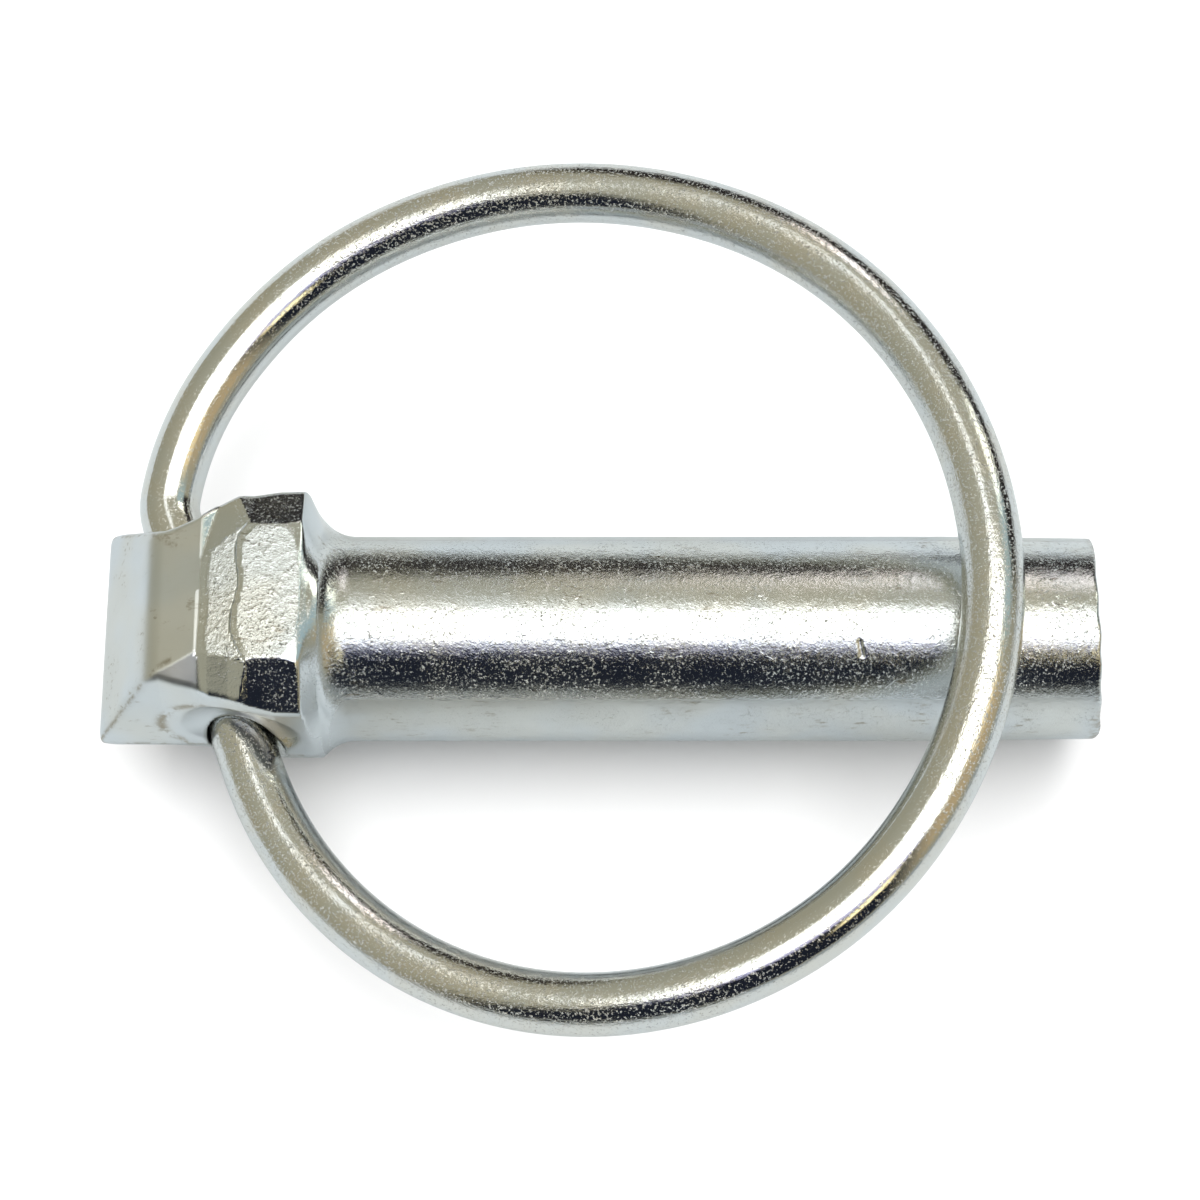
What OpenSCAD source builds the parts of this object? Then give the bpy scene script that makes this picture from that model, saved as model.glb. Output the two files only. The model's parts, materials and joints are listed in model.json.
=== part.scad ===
// Linch pin: a forged steel pin with a drafted head, and a sprung wire ring hinged through the head.
// X runs along the shank towards its tip, Y is across the pin and Z is up.
// X = 0 is where the straight shank begins, on its axis. Sizes are in millimetres.

/* [Shank] */
// Diameter of the straight shank
shank_d = 11.1; // [9:0.1:13]
// Clear length left between the straight shank's end and the ring's wire
ring_margin = 0.2; // [0.1:0.1:2]
// How far the tip reaches past the middle of the ring's wire
tip_reach = 6.5; // [4:0.1:12]
// Diameter at the end of the lead, which tapers from the straight shank to the tip
lead_d = 10.9; // [8.5:0.1:12.5]
// Chamfer round the tip
tip_chamfer = 0.6; // [0.2:0.1:1.5]
// Diameter of the collar where the shank meets the head
collar_d = 12.6; // [12:0.1:13]
// Height and length of the small step between the forged shoulder and the turned collar
collar_lip = 0.1; // [0.05:0.01:0.3]
// Radius of the fillet between collar and shank
fillet_r = 2.2; // [1.2:0.1:3]

/* [Head] */
// Length of the head, from the collar to its far edge
head_len = 12.04; // [10.6:0.02:15.6]
// Height of the head over its flats
head_h = 13.3; // [12.4:0.1:15]
// Width of the head along the parting line, at the far end
head_w = 12.2; // [11.4:0.1:13]
// Width of the head along the parting line, by the shank
cheek_w = 13.6; // [13.2:0.1:15]
// How far the sloping end face runs back from the far edge
end_run = 3.8; // [2.5:0.1:4.5]
// Width of the end face at its top
end_top_w = 7.5; // [6:0.1:9]
// Thickness of the flash land left along the far edge
flash_t = 0.7; // [0.4:0.1:1.5]
// Width of the flats on top, by the shank
flat_w = 7.8; // [7:0.1:10]
// Height of the cheeks' upper edges above the parting line
cheek_h = 5; // [4:0.1:5.6]
// How much further in the cheeks' lower edges lie than their upper ones
under_draft = 1.1; // [0:0.1:1.6]
// Length of the shoulder that slopes from the flats to the collar
shoulder_len = 0.9; // [0.6:0.1:2]
// Length of the bright flat next to the shoulder
front_flat_len = 2.8; // [2:0.1:4]
// Length of the second flat, behind the ridge
rear_flat_len = 2.4; // [1.5:0.1:3]
// Depth of the valley behind the second flat
valley_depth = 0.3; // [0.1:0.1:0.6]

/* [Ring] */
// Diameter of the spring wire
wire_d = 3.3; // [2.5:0.1:3.8]
// Radius of the ring's main sweep, to the middle of the wire
sweep_r = 23.2; // [20:0.1:30]
// How much tighter the near side's sweep is than the main one
sweep_step = 3.1; // [2.6:0.1:5]
// How far the hinge line cuts in from the main sweep
chord_depth = 4.7; // [3:0.1:5]
// Radius of the tighter sweep that brings the far side down to the head
far_r = 16; // [14.5:0.1:20]
// Direction from the ring's centre in which the far side's tighter sweep begins, in degrees
far_start = 214; // [200:1:220]
// Radius of the small bend on the far side of the head
bend_r = 3; // [2.5:0.1:4]
// Distance from the middle of the head to the start of the small bend, along the hinge
bend_start = 7.12; // [6.8:0.02:9]
// Gap between the wire's two ends, inside the head
end_gap = 4.4; // [2:0.1:8]

/* [Hinge] */
// Distance from the collar back to the hinge line, on the pin's axis
hinge_back = 6.34; // [5.9:0.02:6.8]
// Skew of the hinge line from square across the pin, in degrees
hinge_skew = 19.5; // [10:0.5:24]
// Radial clearance of the wire in the head's bore
bore_clearance = 0.12; // [0.05:0.01:0.3]
// Depth of the flared mouth that the small bend swings past
flare_depth = 1.6; // [0.8:0.1:3]
// Widening of the flared mouth at the head's side
flare_widening = 0.6; // [0.3:0.1:1]
// Depth of the countersunk mouth on the near side
sink_depth = 2.4; // [1:0.1:3]
// Widening of the countersunk mouth at the head's side
sink_widening = 1.2; // [0.5:0.1:1.4]
// Radius of the ball that pressed the dimple above the countersunk mouth
dimple_r = 3.9; // [3:0.1:5]
// How deep the dimple goes into the head's side
dimple_depth = 1.9; // [0.8:0.1:2.2]
// Height of the dimple's centre above the hinge line
dimple_rise = 2; // [1:0.1:2.4]
// Gap between the closed ring's wire and the shank it rests on
seat_gap = 0.06; // [0.02:0.01:0.3]

/* [Hidden] */
$fn = 96;

wire_r = wire_d / 2;
shank_r = shank_d / 2;
lead_r = lead_d / 2;
collar_r = collar_d / 2;
bore_r = wire_r + bore_clearance;
// the ring's stretches stop just short of each other, inside the joint between them
joint_swell = 0.02;
weld_gap = 0.1;
function degrees(radians) = radians * 180 / PI;

// the fillet is an arc that ends tangent to the shank
fillet_len = sqrt(pow(fillet_r, 2) - pow(fillet_r - (collar_r - shank_r), 2));
fillet_sweep = asin(fillet_len / fillet_r);

// the head's stations along X, from the shank to the far edge
collar_x = -fillet_len;
shoulder_x = collar_x - shoulder_len;
ridge_x = shoulder_x - front_flat_len;
valley_x = ridge_x - rear_flat_len;
far_x = collar_x - head_len;
end_top_x = far_x + end_run;
hinge_x = collar_x - hinge_back;

// the ring's arcs, in its own plane: u along the hinge line towards -Y, v towards the ring's centre
near_r = sweep_r - sweep_step;
centre_v = sweep_r - chord_depth;
far_v = centre_v + (sweep_r - far_r) * sin(far_start);
far_u = sqrt(pow(far_r - bend_r, 2) - pow(far_v - bend_r, 2)) - bend_start;
centre_u = far_u - (sweep_r - far_r) * cos(far_start);
bend_turn = acos((far_v - bend_r) / (far_r - bend_r));
near_u = centre_u + sqrt(pow(sweep_step, 2) - pow(near_r - centre_v, 2));
near_turn = 90 + asin((near_r - centre_v) / sweep_step);

// where the wire crosses over the shank: v there, and the slope of the wire seen along the shank
function cross_u(tilt, v) = tan(hinge_skew) * cos(tilt) * v;
function cross_v(tilt) =
    let (k = tan(hinge_skew) * cos(tilt), a = 1 + k * k, b = k * centre_u + centre_v,
         c = pow(centre_u, 2) + pow(centre_v, 2) - pow(sweep_r, 2))
    (b + sqrt(b * b - a * c)) / a;
function cross_slope(tilt) =
    let (v = cross_v(tilt), du = centre_v - v, dv = cross_u(tilt, v) - centre_u)
    sin(tilt) * dv / (sin(hinge_skew) * cos(tilt) * dv - cos(hinge_skew) * du);

// the ring settles on the shank: each step improves the tilt at which the wire just clears it
function settled(tilt, steps) =
    steps == 0 ? tilt
    : settled(asin(seat_height / (cross_v(tilt) * cos(atan(cross_slope(tilt))))), steps - 1);
seat_height = shank_r + wire_r + seat_gap;
ring_tilt = settled(10, 8);
cross_x = hinge_x + cross_v(ring_tilt) * cos(ring_tilt) / cos(hinge_skew);

shank_len = cross_x - wire_r - ring_margin;
tip_x = cross_x + tip_reach;

// a head section: half width at the parting line, the cheek's edge and the flat's edge, mirrored,
// with the lower cheeks drawn in by under
function section(x, parting, cheek, flat, under = 0) =
    let (lower = [cheek[0] - under, -cheek[1]])
    [for (p = [[parting, 0], cheek, flat, [-flat[0], flat[1]], [-cheek[0], cheek[1]],
               [-parting, 0], [-lower[0], lower[1]], -flat, [flat[0], -flat[1]], lower])
        [x, p[0], p[1]]];

flat_z = head_h / 2;
// the collar's station is a regular ten-sided ring, just outside the round collar
lip_r = (collar_r + collar_lip) / cos(18);
stations = [
    section(far_x, head_w / 2, [head_w / 2 - 0.05, flash_t / 3], [head_w / 2 - 0.2, flash_t / 2]),
    section(end_top_x, head_w / 2, [(head_w + end_top_w) / 4 + 0.1, flat_z / 2], [end_top_w / 2, flat_z]),
    section(valley_x, head_w / 2, [head_w / 2 - 0.9, cheek_h * 0.7], [flat_w / 2 + 0.3, flat_z - valley_depth]),
    section(ridge_x, cheek_w / 2 - 0.2, [cheek_w / 2 - 0.7, cheek_h], [flat_w / 2 - 0.2, flat_z], under_draft),
    section(shoulder_x, cheek_w / 2, [cheek_w / 2 - 0.4, cheek_h], [flat_w / 2, flat_z - 0.15], under_draft),
    section(collar_x - collar_lip, lip_r, lip_r * [cos(36), sin(36)], lip_r * [cos(72), sin(72)])
];

module head_blank() {
    n = len(stations[0]);
    last = (len(stations) - 1) * n;
    sides = [for (s = [0 : len(stations) - 2], i = [0 : n - 1])
        let (j = (i + 1) % n, a = s * n) each
        [[a + i, a + n + j, a + j], [a + i, a + n + i, a + n + j]]];
    far_cap = [for (i = [0 : n - 1]) i];
    near_cap = [for (i = [n - 1 : -1 : 0]) last + i];
    polyhedron([for (s = stations) each s], concat(sides, [far_cap, near_cap]));
}

// fillet, straight shank, lead and tip, turned about the X axis
module shank() {
    fillet = [for (a = [0 : fillet_sweep / 8 : fillet_sweep + 0.01])
        [shank_r + fillet_r * (1 - cos(a)), -fillet_r * sin(a)]];
    rotate([0, 90, 0]) {
        rotate_extrude() polygon(concat([[0, collar_x - 1], [collar_r, collar_x - 1]],
            [for (i = [len(fillet) - 1 : -1 : 0]) fillet[i]], [[0, 0]]));
        cylinder(r = shank_r, h = shank_len);
        translate([0, 0, shank_len])
            cylinder(r1 = shank_r, r2 = lead_r, h = tip_x - tip_chamfer - shank_len);
        translate([0, 0, tip_x - tip_chamfer]) cylinder(r1 = lead_r, r2 = lead_r - tip_chamfer, h = tip_chamfer);
    }
}

// moves a child from the hinge line's own frame, with its +Z along the hinge towards -Y, to the head
module on_hinge() {
    translate([hinge_x, 0, 0]) rotate([90, 0, hinge_skew]) children();
}

module pin_body() {
    side_u = head_w / 2 / cos(hinge_skew);
    reach = 6;
    color([0.74, 0.76, 0.78])
    difference() {
        union() {
            head_blank();
            shank();
        }
        on_hinge() {
            cylinder(r = bore_r, h = 4 * head_w, center = true);
            translate([0, 0, side_u - sink_depth])
                cylinder(r1 = bore_r, r2 = bore_r + sink_widening * reach / sink_depth, h = reach);
            translate([0, 0, flare_depth - side_u - reach])
                cylinder(r1 = bore_r + flare_widening * reach / flare_depth, r2 = bore_r, h = reach);
        }
        translate([hinge_x + head_w / 2 * tan(hinge_skew), dimple_depth - dimple_r - head_w / 2, dimple_rise])
            sphere(r = dimple_r);
    }
}

// an arc of wire in the ring's plane, from one direction of its radius and through a turn
module wire_arc(u, v, r, from, turn) {
    short = degrees(weld_gap / r);
    translate([u, v, 0]) rotate([0, 0, from + short]) rotate_extrude(angle = turn - 2 * short)
        translate([r, 0]) circle(r = wire_r);
}

module wire_straight(from, to) {
    translate([from, 0, 0]) rotate([0, 90, 0]) cylinder(r = wire_r, h = to - from);
}

// joins two stretches of wire: a hair wider than they are, so that each one ends inside it
module wire_joint(u, v) {
    translate([u, v, 0]) sphere(r = wire_r + joint_swell);
}

module ring() {
    color([0.8, 0.8, 0.76])
    translate([hinge_x, 0, 0]) rotate([0, 0, hinge_skew - 90]) rotate([ring_tilt, 0, 0]) {
        wire_straight(-bend_start + weld_gap, -end_gap / 2);
        wire_joint(-bend_start, 0);
        wire_arc(-bend_start, bend_r, bend_r, -90 - bend_turn, bend_turn);
        wire_joint(-bend_start - bend_r * sin(bend_turn), bend_r * (1 - cos(bend_turn)));
        wire_arc(far_u, far_v, far_r, far_start, 270 - bend_turn - far_start);
        wire_joint(far_u + far_r * cos(far_start), far_v + far_r * sin(far_start));
        wire_arc(centre_u, centre_v, sweep_r, near_turn - 90, far_start + 90 - near_turn);
        wire_joint(near_u + near_r * sin(near_turn), near_r * (1 - cos(near_turn)));
        wire_arc(near_u, near_r, near_r, -90, near_turn);
        wire_joint(near_u, 0);
        wire_straight(end_gap / 2, near_u - weld_gap);
    }
}

pin_body();
ring();
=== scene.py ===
import json
import math

import bpy
import numpy as np
from mathutils import Matrix, Vector


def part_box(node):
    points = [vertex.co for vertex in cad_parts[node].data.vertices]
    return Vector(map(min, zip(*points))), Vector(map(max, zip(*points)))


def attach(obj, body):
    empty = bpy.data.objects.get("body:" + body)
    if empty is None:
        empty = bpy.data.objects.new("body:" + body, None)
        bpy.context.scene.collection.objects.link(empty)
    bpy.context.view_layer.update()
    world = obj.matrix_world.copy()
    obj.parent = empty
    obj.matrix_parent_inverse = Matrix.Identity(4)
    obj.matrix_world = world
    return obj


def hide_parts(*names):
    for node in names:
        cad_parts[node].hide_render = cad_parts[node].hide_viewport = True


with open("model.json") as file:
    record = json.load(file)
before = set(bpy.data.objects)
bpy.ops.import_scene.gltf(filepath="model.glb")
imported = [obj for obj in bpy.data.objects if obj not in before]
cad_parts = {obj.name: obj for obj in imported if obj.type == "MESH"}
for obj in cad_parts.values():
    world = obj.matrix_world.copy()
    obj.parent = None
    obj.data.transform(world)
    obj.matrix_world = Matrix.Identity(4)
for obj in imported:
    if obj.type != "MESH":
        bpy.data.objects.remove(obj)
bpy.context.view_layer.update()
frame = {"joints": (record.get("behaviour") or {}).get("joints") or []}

# The pin: one hot forging in low-carbon steel, trimmed along its parting line, cropped to length at the
# tip and zinc plated. Its head has drafted flanks, a sloped end and flats struck into its top. Its skin is
# traced where one signed distance is zero. Sizes are in millimetres, in the frame's own axes.
MM = 0.001
pin_low, pin_high = (np.array(corner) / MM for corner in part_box("pin_body"))
tip_x = pin_high[0]
shank_radius = 5.55
lead_radius = 5.45
lead_start = 31.81
fillet_radius = 2.2
collar_end = -1.64
shoulder_end = -2.54
# The head's own functions count x from this place, which lies in the fillet.
datum_x = -1.19
far_edge = pin_low[0] - datum_x
# How far the collar leans across for each millimetre above or below the parting line.
collar_shear = 0.075
hinge = frame["joints"][0]
hinge_x = hinge["pos_m"][0] / MM
hinge_along = np.array(hinge["axis"])
hinge_skew = math.asin(hinge_along[0])
wire_radius = 1.65
bore_radius = wire_radius + 0.12


def round_max(a, b, blend):
    """The larger of the two, with the corner between them rounded over this width."""
    overlap = np.maximum(blend - np.abs(a - b), 0.0) / blend
    return np.maximum(a, b) + overlap * overlap * blend / 4


def round_min(a, b, blend):
    """The smaller of the two, with its corner rounded in the same way."""
    return -round_max(-a, -b, blend)


def ramp(value, start, end):
    """Rises smoothly from 0 at start to 1 at end."""
    t = np.clip((value - start) / (end - start), 0.0, 1.0)
    return t * t * (3 - 2 * t)


front_flat_x = -2.9
rear_flat_end = -6.1
crest_x = -6.74
front_height = 6.625
rear_height = 6.3
crest_height = 6.18


def front_oval(x, y):
    """Below 1 on the front struck flat: a long oval with a wavy rear side."""
    squareness = 2.6
    rear_side = 1.62 - 0.16 * np.sin(1.25 * y + 0.9)
    half_length = np.where(x < front_flat_x, rear_side, 1.55)
    half_width = 3.85
    from_middle = np.abs((x - front_flat_x) / half_length)
    return (from_middle ** squareness + (np.abs(y) / half_width) ** squareness) ** (1 / squareness)


def front_flat(x, y):
    """1 on the front struck flat."""
    return 1 - ramp(front_oval(x, y), 0.96, 1.06)


def corner_facet(x, y):
    """Above 0 on the facets at the rear flat's near and far corners."""
    return np.where(y < 0, 0.33 * -x - 0.94 * y - 5.02, 0.63 * -x + 0.77 * y - 5.7)


def rear_flat(x, y):
    """1 on the rear struck flat, which the front one cuts into and the two corner facets narrow."""
    wavy_end = x + 0.07 * np.sin(2.1 * y)
    inside = ramp(wavy_end, rear_flat_end - 0.2, rear_flat_end)
    inside = inside * (1 - ramp(corner_facet(x, y), -0.1, 0.05))
    return inside * ramp(front_oval(x, y), 1.12, 1.22) * (x < -3.2)


def head_top_height(x, y):
    """Height of the head's upper surface. The struck flats, the facets round them and the raised
    tongue behind them each lie in a plane of their own."""
    side = np.abs(y)
    x = np.minimum(x, -0.9)
    rear = rear_height + 0.095 * (x - rear_flat_end) - 0.5 * np.maximum(x + 3.9, 0.0)
    rear_edge = rear_height + 0.25 * (x + 6.12)
    rear = round_min(rear, rear_edge, 0.01) - 0.7 * np.maximum(-6.9 - x, 0.0)
    rear = rear - np.where(y < 0, 0.5, 0.28) * np.maximum(corner_facet(x, y), 0.0)
    oval = front_oval(x, y)
    front = front_height - 0.42 * np.maximum(oval - 1.0, 0.0)
    front = front - 2.5 * np.maximum(oval - 1.15, 0.0) * np.clip(front_flat_x - x, 0.0, 1.0)
    cheek_fall = np.where(y > 0, 0.54, 0.62) * (side - 3.72)
    cheek = 6.62 - cheek_fall + 0.5 * np.maximum(-4.0 - x, 0.0)
    top = round_min(round_max(rear, front, 0.04), cheek, 0.04)
    from_crest = x - crest_x - 0.03 * y
    tongue = crest_height + np.minimum(0.28 * from_crest, -0.5 * from_crest)
    near_fall = 6.06 + 0.45 * (y + 3.3) + 0.1 * (x + 6.7)
    return round_max(top, round_min(tongue, near_fall, 0.04), 0.05)


def head_shear(x):
    """How far the head leans across for each millimetre above or below the parting line."""
    return np.interp(x, [-12.5, -8.0, -5.0, 0.0], [0.0, 0.02, collar_shear, collar_shear])


def head_flank(x, y, z):
    """Signed distance to the head's drafted sides."""
    height = np.abs(z)
    across = np.abs(y - head_shear(x) * height)
    parting = np.interp(x, [-12.5, -6.6, -2.6, 0.5], [6.02, 6.08, 6.74, 6.74])
    draft = np.interp(x, [-8.7, -6.9, -6.05, -4.6, -1.5], [0.353, 0.25, 0.175, 0.12, 0.1])
    under_draft = np.interp(x, [-6.6, -2.6], [0.0, 0.12])
    draft = draft + np.where(z < 0, under_draft, 0.0)
    drafted = (across - parting + draft * height) / np.sqrt(1 + draft ** 2)
    flash_land = across - parting + 0.08
    return round_max(drafted, flash_land, 0.3)


def head_end(x, z):
    """Signed distance to the sloped end, above and below the parting line."""
    lengthways, upright = 0.856, 0.5165
    return lengthways * (far_edge - x) + upright * np.abs(z) - 0.18


def forged_head(x, y, z):
    """Signed distance to the head alone: its top, its flanks, its sloped end and the blunt edge there."""
    top = (np.abs(z) - head_top_height(x, y - head_shear(x) * np.abs(z))) * 0.97
    body = round_max(top, head_flank(x, y, z), 0.3)
    body = round_max(body, head_end(x, z), 0.6)
    return round_max(body, far_edge - x, 0.3)


def turned_shank(x, y, z):
    """Shoulder, fillet, shank and lead. Behind the collar the round opens out to the head's outline."""
    out = np.hypot(y, z) + 1e-6
    height = np.abs(z)
    across = np.abs(y - collar_shear * height)
    slanted = 0.496 * across + 0.868 * height
    half_width, half_height, half_slant = 6.74, 6.64, 7.66
    squareness = 50
    gauge = (across / half_width) ** squareness + (height / half_height) ** squareness
    gauge = gauge + (slanted / half_slant) ** squareness
    head_outline = out / gauge ** (1 / squareness)
    run = np.clip(-x, 0.0, -collar_end)
    radius = shank_radius + fillet_radius - np.sqrt(fillet_radius ** 2 - run ** 2)
    lead = np.clip((x - lead_start) / (tip_x - lead_start), 0.0, 1.0)
    radius = radius - (shank_radius - lead_radius) * lead
    opening = np.clip((collar_end - x) / (collar_end - shoulder_end), 0.0, 2.5)
    return (out - radius - (head_outline - radius) * opening) * 0.8


def cropped_tip(x, y, z):
    """The sheared end of the bar, which leans a little and isn't quite flat."""
    lean = 0.11 * np.maximum(z, 0.0) + 0.02 * np.sin(1.3 * y + 0.7) + 0.03 * np.sin(2.9 * y + 1.7 * z)
    return (x - tip_x + 0.06 + lean) * 0.98


def hinge_bore(x, y, z):
    """Distance to the ring's bore, its flared mouths, and the shallow dish pressed round the near one."""
    from_hinge = np.stack([x - hinge_x, y, z], axis=-1)
    along = from_hinge @ hinge_along
    off = np.sqrt(np.maximum((from_hinge ** 2).sum(axis=-1) - along ** 2, 1e-9))
    half_head = 6.1
    to_side = half_head / math.cos(hinge_skew)
    near_mouth = 0.1 * np.maximum(along - to_side + 0.8, 0.0)
    far_mouth = 0.375 * np.maximum(-along - to_side + 1.6, 0.0)
    bore = (off - bore_radius - near_mouth - far_mouth) * 0.89
    dish_x, dish_y, dish_z = -6.1, -11.4, 2.2
    dish_radius = 6.45
    level = y - dish_y - 0.24 * (z - dish_z) + 0.12 * (x - dish_x)
    from_dish = np.sqrt((x - dish_x) ** 2 + level ** 2 + (1.48 * (z - dish_z)) ** 2)
    dish = (from_dish - dish_radius) * 0.8
    return round_min(bore, dish, 0.4)


def knock(x, y, z, start, end, radius):
    """Distance to a thin round bar with round ends: what a knock from a sharp edge takes out."""
    start = np.array(start)
    reach = np.array(end) - start
    from_start = np.stack([x, y, z], axis=-1) - start
    t = np.clip((from_start @ reach) / (reach @ reach), 0.0, 1.0)
    return np.sqrt(((from_start - t[..., None] * reach) ** 2).sum(axis=-1)) - radius


def forging(x, y, z):
    """Signed distance to the whole pin. Each part of it is scaled so that its slope is about one."""
    pin = round_max(forged_head(x - datum_x, y, z), turned_shank(x, y, z), 0.15)
    pin = round_max(pin, cropped_tip(x, y, z), 0.16)
    pin = round_max(pin, -hinge_bore(x, y, z), 0.09)
    rim_nick = knock(x, y, z, (-4.3, -6.25, 3.5), (-3.1, -6.45, 2.9), 0.2)
    shank_nick = knock(x, y, z, (26.8, -1.9, 5.31), (26.95, -2.6, 5.01), 0.13)
    return round_max(round_max(pin, -rim_nick, 0.08), -shank_nick, 0.1)


def gradient(field, points, step=0.004):
    """The field's slope along x, y and z at each point."""
    slopes = []
    for axis in range(3):
        offset = np.zeros(3)
        offset[axis] = step
        slopes.append((field(*(points + offset).T) - field(*(points - offset).T)) / (2 * step))
    return np.stack(slopes, axis=-1)


def trace_skin(field, grid):
    """Quads over the surface where the field is zero, with one corner in each cell that it crosses."""
    values = field(*np.meshgrid(*grid, indexing="ij"))
    cell_shape = [n - 1 for n in values.shape]
    total = np.zeros((math.prod(cell_shape), 3))
    crossings = np.zeros(len(total))
    quads = []
    for axis in range(3):
        low = np.take(values, range(cell_shape[axis]), axis)
        high = np.take(values, range(1, cell_shape[axis] + 1), axis)
        edges = np.argwhere((low < 0) != (high < 0))
        before, after = low[tuple(edges.T)], high[tuple(edges.T)]
        points = np.stack([grid[k][edges[:, k]] for k in range(3)], axis=-1)
        gap = np.diff(grid[axis])[edges[:, axis]]
        points[:, axis] += before / (before - after) * gap
        cells = []
        for back_u, back_v in ((0, 0), (1, 0), (1, 1), (0, 1)):
            cell = edges.copy()
            cell[:, (axis + 1) % 3] -= back_u
            cell[:, (axis + 2) % 3] -= back_v
            cells.append(np.ravel_multi_index(cell.T, cell_shape))
            np.add.at(total, cells[-1], points)
            np.add.at(crossings, cells[-1], 1)
        quad = np.stack(cells, axis=-1)
        quads.append(np.where((before < 0)[:, None], quad, quad[:, ::-1]))
    used = crossings > 0
    number = np.cumsum(used) - 1
    corners = total[used] / crossings[used][:, None]
    passes = 5
    longest_step = 0.08
    for _ in range(passes):
        slope = gradient(field, corners)
        steepness = np.maximum((slope ** 2).sum(axis=1), 0.05)[:, None]
        shift = field(*corners.T)[:, None] * slope / steepness
        corners = corners - np.clip(shift, -longest_step, longest_step)
    return corners, number[np.concatenate(quads)]


def skinned_piece(name, corners, faces, normals):
    """A smooth piece from corners in millimetres, shaded by its surface's own normals."""
    mesh = bpy.data.meshes.new(name)
    mesh.from_pydata((corners * MM).tolist(), [], faces.tolist())
    mesh.update()
    mesh.shade_smooth()
    mesh.normals_split_custom_set_from_vertices(normals.tolist())
    piece = bpy.data.objects.new(name, mesh)
    bpy.context.scene.collection.objects.link(piece)
    return piece


# The grid is fine over the head and the tip, finer over the nick in the shank, and plain between them.
margin = 0.4
fine, finer, plain = 0.13, 0.1, 0.36
shank_from, nick_from, nick_to, tip_from = 1.6, 26.2, 27.6, tip_x - 1.2
along_pin = np.concatenate([
    np.arange(pin_low[0] - margin, shank_from, fine),
    np.arange(shank_from, nick_from, plain),
    np.arange(nick_from, nick_to, finer),
    np.arange(nick_to, tip_from, plain),
    np.arange(tip_from, tip_x + margin, fine),
])
across_pin = np.arange(-7.3, 7.3, 0.15)
pin_corners, pin_faces = trace_skin(forging, [along_pin, across_pin, across_pin])
pin_slopes = gradient(forging, pin_corners)
pin_normals = pin_slopes / np.linalg.norm(pin_slopes, axis=1)[:, None]
pin = skinned_piece("forged_pin", pin_corners, pin_faces, pin_normals)


def vertex_value(piece, name, values):
    """Keeps one number at each vertex for the materials to read."""
    layer = piece.data.attributes.new(name, "FLOAT", "POINT")
    layer.data.foreach_set("value", np.asarray(values, dtype=np.float32))


pin_x, pin_y, pin_z = pin_corners.T
head_x = pin_x - datum_x
sheared_y = pin_y - collar_shear * np.abs(pin_z)
facing_up = ramp(np.abs(pin_normals[:, 2]), 0.9, 0.95)
flats = np.maximum(front_flat(head_x, sheared_y), 1.5 * rear_flat(head_x, sheared_y))
vertex_value(pin, "struck", flats * facing_up)
flat_top = ramp(head_x, -6.75, -6.4) * (np.abs(pin_normals[:, 1]) < 0.8)
vertex_value(pin, "hazy", 1 - flat_top)
# The plate is darkened with painted reflections of dark surroundings and of the shaded floor along the
# sloped end's corners and along the parting line, with painted shade just behind the bore's mouths, and it
# is really worn at the tip's rim.
flank = head_flank(head_x, pin_y, pin_z)
# Painted reflection: a dark line along the sloped end's corners, where the rounded edge mirrors dark
# surroundings.
end_edge_reflection = np.exp(-((flank - head_end(head_x, pin_z)) / 0.13) ** 2) * (head_x < -8)
# Painted reflection: a dark line along the parting line, where the flank mirrors the floor in the head's
# shadow.
parting_reflection = 0.8 * np.exp(-(pin_z / 0.16) ** 2) * (head_x < -1.5)
# Painted shade: a dark arc just behind the bore's mouths, where the rim overhangs the recess.
mouth_rim_shift = 1.19
off_mouth_rim = np.abs(flank) + np.abs(hinge_bore(pin_x + mouth_rim_shift, pin_y, pin_z))
mouth_rim_shade = np.exp(-(off_mouth_rim / 0.08) ** 2)
end_rim = 0.8 * ramp(pin_x, tip_x - 1.0, tip_x - 0.2)
# One value that holds the real wear at the tip's rim together with the painted dark reflections and painted
# shade above.
vertex_value(pin, "wear_and_shade", np.maximum.reduce([end_edge_reflection, parting_reflection, mouth_rim_shade, end_rim]))
vertex_value(pin, "shank", ramp(pin_x, -1.7, -0.8))


def nodes_for(name):
    """A new material with its tree and its shader."""
    material = bpy.data.materials.new(name)
    material.use_nodes = True
    tree = material.node_tree
    return material, tree, tree.nodes["Principled BSDF"]


def add_node(tree, kind, links=None, **settings):
    """Adds a node; links maps an input's name or number to a socket, or to a plain value."""
    node = tree.nodes.new(kind)
    for key, value in settings.items():
        setattr(node, key, value)
    for key, value in (links or {}).items():
        if isinstance(value, bpy.types.NodeSocket):
            tree.links.new(value, node.inputs[key])
        else:
            node.inputs[key].default_value = value
    return node


def squeezed(tree, vector, scale):
    """The same place with its first part scaled, which draws noise out that way."""
    return add_node(tree, "ShaderNodeMapping", {"Vector": vector, "Scale": (scale, 1.0, 1.0)}).outputs[0]


def noise(tree, vector, size, detail, roughness=0.5):
    """Noise whose lumps are about this size, in millimetres."""
    return add_node(tree, "ShaderNodeTexNoise", {
        "Vector": vector, "Scale": 1 / (size * MM), "Detail": detail, "Roughness": roughness}).outputs["Fac"]


def stretch(tree, value, low, high, to_low=0.0, to_high=1.0):
    """Maps low to to_low and high to to_high, smoothly between them and level past them."""
    return add_node(tree, "ShaderNodeMapRange", {
        "Value": value, "From Min": low, "From Max": high, "To Min": to_low, "To Max": to_high},
        interpolation_type="SMOOTHSTEP").outputs["Result"]


def calc(tree, operation, a, b=0.0):
    """One step of arithmetic on sockets or plain values."""
    return add_node(tree, "ShaderNodeMath", {0: a, 1: b}, operation=operation).outputs[0]


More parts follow.
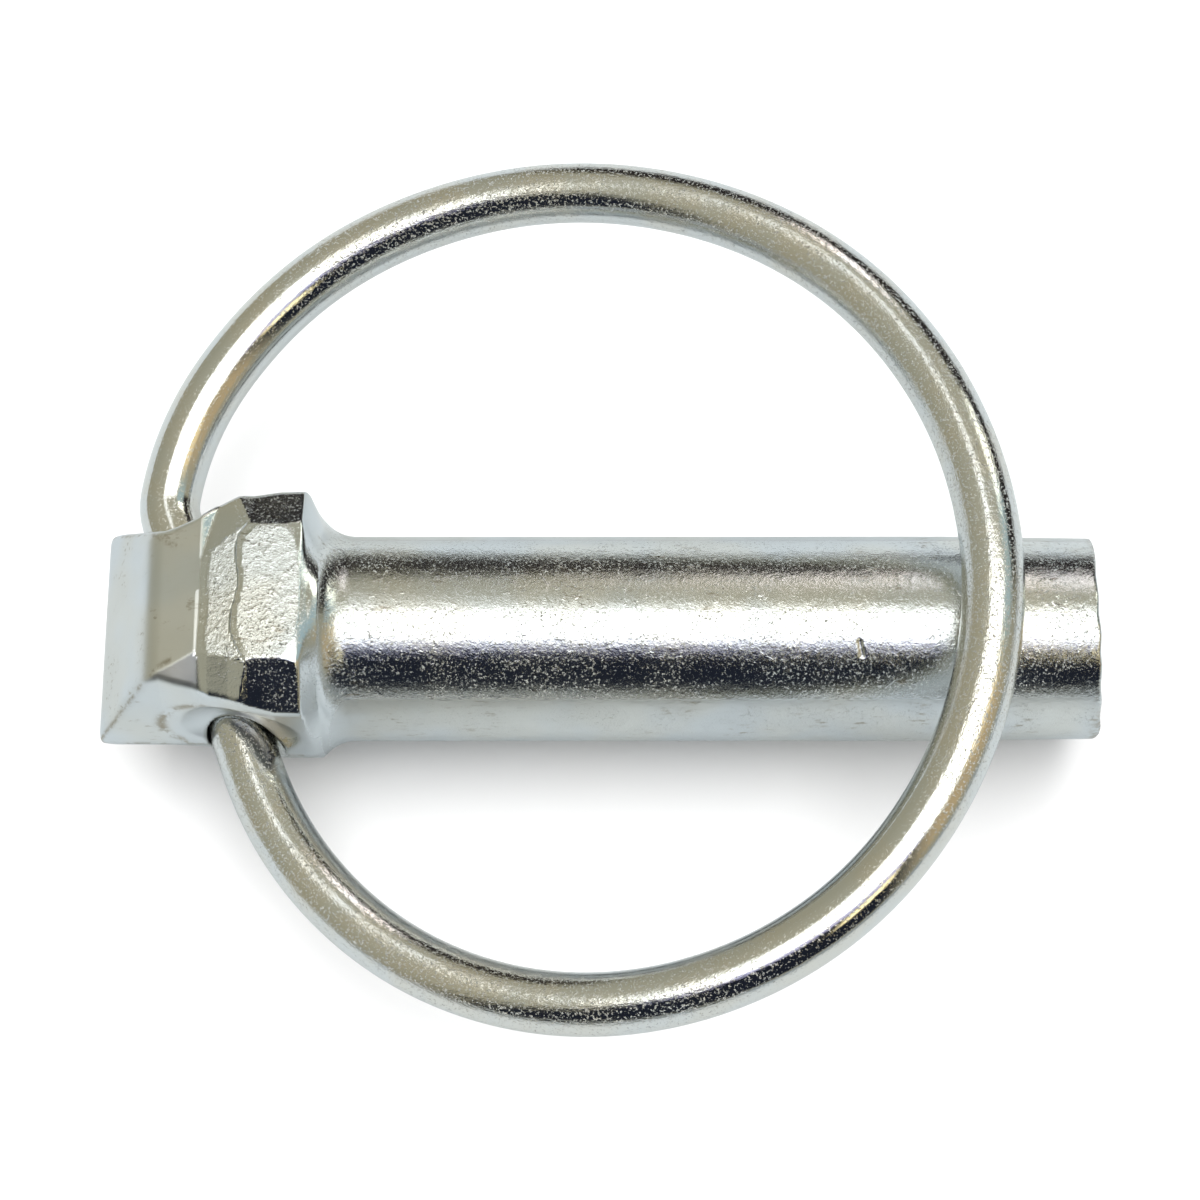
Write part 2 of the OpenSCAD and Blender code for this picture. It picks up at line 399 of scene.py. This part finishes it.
def blend_colours(tree, factor, first, second):
    """Goes from the first colour to the second; each is a socket or three numbers."""
    node = add_node(tree, "ShaderNodeMix", {"Factor": factor}, data_type="RGBA")
    for socket, colour in ((node.inputs[6], first), (node.inputs[7], second)):
        if isinstance(colour, bpy.types.NodeSocket):
            tree.links.new(colour, socket)
        else:
            socket.default_value = (*colour, 1.0)
    return node.outputs[2]


def bright_zinc():
    """Bright zinc plate over a forging: like orange peel on the shank, sparkling on the struck flats."""
    material, tree, shader = nodes_for("bright_zinc")
    place = add_node(tree, "ShaderNodeTexCoord").outputs["Object"]
    struck_mask = add_node(tree, "ShaderNodeAttribute", attribute_name="struck").outputs["Fac"]
    shank_mask = add_node(tree, "ShaderNodeAttribute", attribute_name="shank").outputs["Fac"]
    hazy_mask = add_node(tree, "ShaderNodeAttribute", attribute_name="hazy").outputs["Fac"]
    # This mask holds real wear at the tip's rim and painted dark reflections and shade along the head's
    # edges, parting line and bore mouths.
    wear_and_shade_mask = add_node(tree, "ShaderNodeAttribute", attribute_name="wear_and_shade").outputs["Fac"]
    lengthways = squeezed(tree, place, 0.3)
    peel = noise(tree, place, 0.42, 3.0, 0.6)
    grain = noise(tree, place, 0.15, 4.0, 0.75)
    streaks = noise(tree, lengthways, 0.3, 4.0, 0.65)
    patches = noise(tree, place, 2.6, 3.0, 0.55)
    broad = noise(tree, place, 5.5, 2.0)
    smooth = calc(tree, "SUBTRACT", 1.0, hazy_mask)
    rough_where = calc(tree, "MAXIMUM", struck_mask, calc(tree, "MULTIPLY", shank_mask, 0.62))
    rough_where = calc(tree, "MAXIMUM", rough_where, calc(tree, "MULTIPLY", smooth, 0.22))
    peel_tops = stretch(tree, peel, 0.58, 0.70, 0.0, 0.35)
    specks = calc(tree, "MAXIMUM", stretch(tree, grain, 0.57, 0.73), peel_tops)
    pits = calc(tree, "MULTIPLY", specks, stretch(tree, patches, 0.38, 0.6, 0.15, 1.0))
    height = calc(tree, "ADD", calc(tree, "MULTIPLY", grain, 0.55), calc(tree, "MULTIPLY", peel, 0.8))
    height = calc(tree, "ADD", height, calc(tree, "MULTIPLY", pits, 1.3))
    height = calc(tree, "MULTIPLY", height, rough_where)
    height = calc(tree, "ADD", height, calc(tree, "MULTIPLY", broad, 0.6))
    bump = add_node(tree, "ShaderNodeBump", {"Strength": 0.6, "Distance": 0.00006, "Height": height})
    tint = blend_colours(tree, stretch(tree, broad, 0.38, 0.62), (0.61, 0.645, 0.655), (0.64, 0.65, 0.62))
    tint = blend_colours(tree, calc(tree, "MULTIPLY", pits, 0.35), tint, (0.62, 0.62, 0.60))
    stained_patches = stretch(tree, patches, 0.5, 0.64, 0.04, 0.75)
    stains = calc(tree, "MULTIPLY", stretch(tree, streaks, 0.55, 0.68), stained_patches)
    blotches = stretch(tree, noise(tree, place, 0.8, 3.0, 0.7), 0.38, 0.6)
    wear_and_shade = calc(tree, "MULTIPLY", wear_and_shade_mask, blotches)
    # The dark brown goes on real stains, on real wear at the tip's rim, and on the painted reflections and
    # shade along the head's edges, parting line and bore mouths.
    tint = blend_colours(tree, calc(tree, "MAXIMUM", stains, wear_and_shade), tint, (0.33, 0.30, 0.24))
    tree.links.new(tint, shader.inputs["Base Color"])
    roughness = stretch(tree, patches, 0.3, 0.7, 0.09, 0.17)
    roughness = calc(tree, "ADD", roughness, calc(tree, "MULTIPLY", hazy_mask, 0.24))
    roughness = calc(tree, "ADD", roughness, calc(tree, "MULTIPLY", struck_mask, 0.06))
    tree.links.new(roughness, shader.inputs["Roughness"])
    tree.links.new(bump.outputs[0], shader.inputs["Normal"])
    shader.inputs["Metallic"].default_value = 1.0
    return material


pin.data.materials.append(bright_zinc())
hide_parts("pin_body")
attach(pin, "pin")

# The ring: one length of hard-drawn spring wire, coiled round a former, zinc plated, with its two ends
# sprung apart and let into the head's bore. Its line is a chain of arcs in one plane through the hinge,
# where u runs along the hinge and v away from it.
sweep_radius = 23.2
past_hinge = 4.7
centre_v = sweep_radius - past_hinge
near_shift = 3.1
near_radius = sweep_radius - near_shift
far_radius = 16.0
far_start = math.radians(214)
bend_radius = 3.0
bend_start = 7.12
end_gap = 4.4
far_v = centre_v + (sweep_radius - far_radius) * math.sin(far_start)
bend_turn = math.acos((far_v - bend_radius) / (far_radius - bend_radius))
far_u = (far_radius - bend_radius) * math.sin(bend_turn) - bend_start
centre_u = far_u - (sweep_radius - far_radius) * math.cos(far_start)
near_rise = near_radius - centre_v
near_u = centre_u + math.sqrt(near_shift ** 2 - near_rise ** 2)
near_turn = math.pi / 2 + math.asin(near_rise / near_shift)
ring_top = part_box("ring")[1][2] / MM
ring_tilt = math.asin((ring_top - wire_radius) / (centre_v + sweep_radius))
wire_step = 0.32


def arc(centre, radius, start, turn):
    """Points along an arc, up to but without its end."""
    count = max(4, int(radius * abs(turn) / wire_step))
    angles = start + turn * np.arange(count) / count
    return np.stack([centre[0] + radius * np.cos(angles), centre[1] + radius * np.sin(angles)], axis=-1)


def straight(start, end):
    """Points along the hinge's line, up to but without the end."""
    count = max(2, int(abs(end - start) / wire_step))
    return np.stack([start + (end - start) * np.arange(count) / count, np.zeros(count)], axis=-1)


def hand_sprung(line):
    """Bends the true arcs in or out a little, as springing the ring on and off has done."""
    from_centre = line - [centre_u, centre_v]
    reach = np.linalg.norm(from_centre, axis=1)[:, None]
    turn = (np.degrees(np.arctan2(from_centre[:, 1], from_centre[:, 0])) + 100) % 360 - 100
    offset = np.zeros(len(line))
    for middle, spread, bend in ((5, 30, -0.2), (145, 20, -0.13), (196, 17, 0.18)):
        offset += bend * np.exp(-((turn - middle) / spread) ** 2)
    return line + from_centre / reach * offset[:, None]


def wire_line():
    """Points along the wire, in the ring's plane, from its near end round to its far end."""
    sweep_start = near_turn - math.pi / 2
    return np.concatenate([
        straight(end_gap / 2, near_u),
        arc((near_u, near_radius), near_radius, -math.pi / 2, near_turn),
        arc((centre_u, centre_v), sweep_radius, sweep_start, far_start - sweep_start),
        arc((far_u, far_v), far_radius, far_start, 1.5 * math.pi - bend_turn - far_start),
        arc((-bend_start, bend_radius), bend_radius, -math.pi / 2 - bend_turn, bend_turn),
        straight(-bend_start, -end_gap / 2),
        [[-end_gap / 2, 0.0]],
    ])


def wrap_wire(mesh, centre, sides, side_corners):
    """Unrolls the wire's skin: u is the way along the wire and v the way round it, both in metres.
    The strip that closes each lap ends at a full turn, not at none."""
    steps = np.linalg.norm(np.diff(centre, axis=0), axis=1)
    travelled = np.concatenate([[0.0], np.cumsum(steps)])
    corner_vertex = np.empty(len(mesh.loops), dtype=np.int32)
    mesh.loops.foreach_get("vertex_index", corner_vertex)
    lap = (corner_vertex % sides) / sides
    closing = np.zeros(len(corner_vertex))
    closing[:side_corners] = np.tile([0, 0, 1, 1], side_corners // 4) * (lap[:side_corners] == 0)
    round_wire = (lap + closing) * 2 * math.pi * wire_radius
    uv = np.stack([travelled[corner_vertex // sides], round_wire], axis=-1) * MM
    wrap = mesh.uv_layers.new(name="wire_wrap")
    wrap.data.foreach_set("uv", uv.astype(np.float32).ravel())


def wire_ring():
    """Sweeps the wire's round along its line, with a flat face on each end."""
    line = hand_sprung(wire_line())
    plane_u = hinge_along
    plane_v = np.array([math.cos(hinge_skew), math.sin(hinge_skew), 0.0]) * math.cos(ring_tilt)
    plane_v[2] = math.sin(ring_tilt)
    upright = np.cross(plane_u, plane_v)
    centre = np.array([hinge_x, 0, 0]) + line[:, :1] * plane_u + line[:, 1:] * plane_v
    ahead = np.gradient(centre, axis=0)
    ahead /= np.linalg.norm(ahead, axis=1)[:, None]
    outward = np.cross(ahead, upright)
    sides = 48
    step = np.arange(sides)
    turn = 2 * math.pi * step / sides
    around = outward[:, None] * np.cos(turn)[None, :, None]
    around = around + upright[None, None] * np.sin(turn)[None, :, None]
    inset = 0.006
    skin = (centre[:, None] + (wire_radius - inset) * around).reshape(-1, 3)
    faces = []
    for start in range(0, len(skin) - sides, sides):
        here, beside = start + step, start + (step + 1) % sides
        faces.append(np.stack([here, here + sides, beside + sides, beside], axis=-1))
    faces = np.concatenate(faces)
    near_end = list(range(sides))
    far_end = list(range(len(skin) - sides, len(skin)))[::-1]
    mesh = bpy.data.meshes.new("wire_ring")
    mesh.from_pydata((skin * MM).tolist(), [], faces.tolist() + [near_end, far_end])
    mesh.shade_smooth()
    mesh.normals_split_custom_set_from_vertices(around.reshape(-1, 3).tolist())
    wrap_wire(mesh, centre, sides, faces.size)
    piece = bpy.data.objects.new("wire_ring", mesh)
    bpy.context.scene.collection.objects.link(piece)
    return piece


def zinc_wire():
    """Zinc plate over drawn wire: frosted with fine grain, and brighter where coiling rubbed it."""
    material, tree, shader = nodes_for("zinc_wire")
    place = add_node(tree, "ShaderNodeTexCoord").outputs["Object"]
    wrap = add_node(tree, "ShaderNodeUVMap", uv_map="wire_wrap").outputs["UV"]
    along = add_node(tree, "ShaderNodeSeparateXYZ", {0: wrap}).outputs[0]
    drawn = squeezed(tree, wrap, 0.35)
    streaks = noise(tree, drawn, 0.17, 3.0, 0.65)
    grain = noise(tree, place, 0.14, 3.0, 0.7)
    patches = noise(tree, place, 3.5, 3.0, 0.55)
    rubbed = 0.0
    fade = 4
    for start, end in ((37.0, 52.0), (115.0, 134.0)):
        rise = stretch(tree, along, (start - fade) * MM, (start + fade) * MM)
        fall = stretch(tree, along, (end - fade) * MM, (end + fade) * MM, 1.0, 0.0)
        rubbed = calc(tree, "MAXIMUM", calc(tree, "MULTIPLY", rise, fall), rubbed)
    frosted = calc(tree, "SUBTRACT", 1.0, calc(tree, "MULTIPLY", rubbed, 0.8))
    pits = stretch(tree, grain, 0.56, 0.72)
    height = calc(tree, "ADD", calc(tree, "MULTIPLY", streaks, 0.32), calc(tree, "MULTIPLY", pits, 0.5))
    uneven = stretch(tree, patches, 0.3, 0.6, 0.5, 1.0)
    height = calc(tree, "MULTIPLY", height, calc(tree, "MULTIPLY", frosted, uneven))
    bump = add_node(tree, "ShaderNodeBump", {"Strength": 0.8, "Distance": 0.00008, "Height": height})
    tint = blend_colours(tree, stretch(tree, patches, 0.35, 0.65), (0.64, 0.66, 0.65), (0.66, 0.65, 0.60))
    frost = calc(tree, "MULTIPLY", frosted, stretch(tree, patches, 0.3, 0.7, 0.01, 0.05))
    roughness = calc(tree, "ADD", 0.07, frost)
    tree.links.new(tint, shader.inputs["Base Color"])
    tree.links.new(roughness, shader.inputs["Roughness"])
    tree.links.new(bump.outputs[0], shader.inputs["Normal"])
    shader.inputs["Metallic"].default_value = 1.0
    return material


ring = wire_ring()
ring.data.materials.append(zinc_wire())
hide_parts("ring")
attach(ring, "ring")

# The studio: a white sweep of matt board under the pin, a long softbox overhead, a dark wall behind the
# camera and warm grey walls to the other sides, which the plated steel mirrors as bands.
floor_z = pin_low[2] * MM


def studio_floor():
    """White board, which the steel mirrors as a cooler and darker grey than the camera sees."""
    half = 1.5
    corners = [(x * half, y * half, floor_z) for x, y in ((-1, -1), (1, -1), (1, 1), (-1, 1))]
    mesh = bpy.data.meshes.new("floor")
    mesh.from_pydata(corners, [], [(0, 1, 2, 3)])
    floor = bpy.data.objects.new("floor", mesh)
    bpy.context.scene.collection.objects.link(floor)
    material, tree, shader = nodes_for("matt_board")
    seen = add_node(tree, "ShaderNodeLightPath").outputs["Is Camera Ray"]
    board = blend_colours(tree, seen, (0.60, 0.635, 0.65), (0.96, 0.96, 0.96))
    tree.links.new(board, shader.inputs["Base Color"])
    shader.inputs["Roughness"].default_value = 0.9
    shader.inputs["Specular IOR Level"].default_value = 0.1
    mesh.materials.append(material)


def studio_walls():
    """The walls as the steel mirrors them, by direction. All other rays meet an even white."""
    world = bpy.data.worlds.new("studio")
    bpy.context.scene.world = world
    world.use_nodes = True
    tree = world.node_tree
    background = tree.nodes["Background"]
    toward = add_node(tree, "ShaderNodeTexCoord").outputs["Generated"]
    x, y, z = add_node(tree, "ShaderNodeSeparateXYZ", {0: toward}).outputs

    def lean(side):
        """Degrees from straight up, seen along the other level axis."""
        return calc(tree, "MULTIPLY", calc(tree, "ARCTAN2", side, z), 180 / math.pi)

    def between(value, low, high, soft):
        """1 from low to high, with soft edges."""
        rise = stretch(tree, value, low - soft, low + soft)
        fall = stretch(tree, value, high - soft, high + soft, 1.0, 0.0)
        return calc(tree, "MULTIPLY", rise, fall)

    lean_x, lean_y = lean(x), lean(y)
    zenith = calc(tree, "MULTIPLY", calc(tree, "ARCCOSINE", z), 180 / math.pi)
    bearing = calc(tree, "MULTIPLY", calc(tree, "ARCTAN2", y, x), 180 / math.pi)
    colour = blend_colours(tree, stretch(tree, zenith, 20, 75), (0.54, 0.515, 0.40), (0.44, 0.42, 0.32))
    low_dark = calc(tree, "MULTIPLY", between(zenith, 57, 90, 3), between(bearing, 13, 103, 5))
    colour = blend_colours(tree, low_dark, colour, (0.035, 0.03, 0.03))
    brown_side = calc(tree, "MULTIPLY", between(zenith, 38, 72, 6), between(bearing, -38, -3, 6))
    colour = blend_colours(tree, brown_side, colour, (0.62, 0.49, 0.30))
    blue_line = calc(tree, "MULTIPLY", between(zenith, 36, 60, 4), between(bearing, 4, 32, 5))
    colour = blend_colours(tree, blue_line, colour, (0.50, 0.64, 0.66))
    camera_wall = calc(tree, "MULTIPLY", between(zenith, 22, 80, 3), between(bearing, -131, -40, 9))
    colour = blend_colours(tree, camera_wall, colour, (0.014, 0.018, 0.03))
    horizon = calc(tree, "MULTIPLY", between(zenith, 83, 179, 3), between(bearing, -150, 12, 8))
    colour = blend_colours(tree, horizon, colour, (0.40, 0.45, 0.48))
    for low, high, start, end, shine in (
            (43, 62, 31, 44, (3.0, 3.0, 2.6)),
            (43, 60, 69, 80, (2.6, 2.4, 2.4)),
            (33, 45, -63, -47, (2.2, 1.9, 1.1))):
        window = calc(tree, "MULTIPLY", between(zenith, low, high, 2), between(bearing, start, end, 3))
        colour = blend_colours(tree, window, colour, shine)
    side_panel = calc(tree, "MULTIPLY", between(lean_x, -15, -5, 3), between(lean_y, 10, 32, 3))
    colour = blend_colours(tree, side_panel, colour, (1.5, 1.5, 1.45))
    cut_corner = stretch(tree, calc(tree, "ADD", calc(tree, "MULTIPLY", lean_x, 0.5), lean_y), -29, -21)
    warm_side = calc(tree, "MULTIPLY", between(lean_x, 26, 46, 5), between(lean_y, -14, 2, 4))
    colour = blend_colours(tree, warm_side, colour, (1.2, 0.95, 0.55))
    violet_rim = calc(tree, "MULTIPLY", between(lean_x, -12, 26, 4), between(lean_y, -28, -18, 3))
    colour = blend_colours(tree, violet_rim, colour, (0.8, 0.78, 1.1))
    softbox = calc(tree, "MULTIPLY", between(lean_x, -17, 30, 4), between(lean_y, -20, 13, 3))
    colour = blend_colours(tree, calc(tree, "MULTIPLY", softbox, cut_corner), colour, (3.2, 3.2, 3.1))
    mirrored = add_node(tree, "ShaderNodeLightPath").outputs["Is Glossy Ray"]
    colour = blend_colours(tree, mirrored, (0.80, 0.80, 0.80), colour)
    tree.links.new(colour, background.inputs["Color"])
    background.inputs["Strength"].default_value = 1.0


def fill_light():
    """A broad light over the board, which evens out its white; the steel doesn't mirror it."""
    data = bpy.data.lights.new("fill", "AREA")
    data.shape = "RECTANGLE"
    data.size = 0.5
    data.size_y = 0.5
    data.energy = 2.4
    light = bpy.data.objects.new("fill", data)
    light.location = (0.013, 0.10, 0.45)
    light.rotation_euler = (math.radians(-12), 0, 0)
    light.visible_glossy = False
    bpy.context.scene.collection.objects.link(light)


studio_floor()
studio_walls()
fill_light()

# The camera stands on the pin's near side and looks down at it steeply, with the pin lying almost level
# across its picture.
elevation = math.radians(70.99)
bearing = math.radians(0.838)
roll = math.radians(0.787)
distance = 153.3
look_at = Vector((13.2065, 2.2275, 0))
level = math.cos(elevation)
ahead = Vector((math.sin(bearing) * level, math.cos(bearing) * level, -math.sin(elevation)))
right = Vector((math.cos(bearing), -math.sin(bearing), 0))
up = right.cross(ahead)
rolled_right = math.cos(roll) * right + math.sin(roll) * up
rolled_up = -math.sin(roll) * right + math.cos(roll) * up
facing = Matrix((rolled_right, rolled_up, -ahead)).transposed().to_4x4()
camera_data = bpy.data.cameras.new("camera")
camera_data.sensor_width = 36
camera_data.lens = 84.114
camera_data.clip_start = 0.01
camera_data.clip_end = 10
camera = bpy.data.objects.new("camera", camera_data)
camera.matrix_world = Matrix.Translation((look_at - distance * ahead) * MM) @ facing
bpy.context.scene.collection.objects.link(camera)
bpy.context.scene.camera = camera

bpy.context.scene.view_settings.view_transform = "Standard"
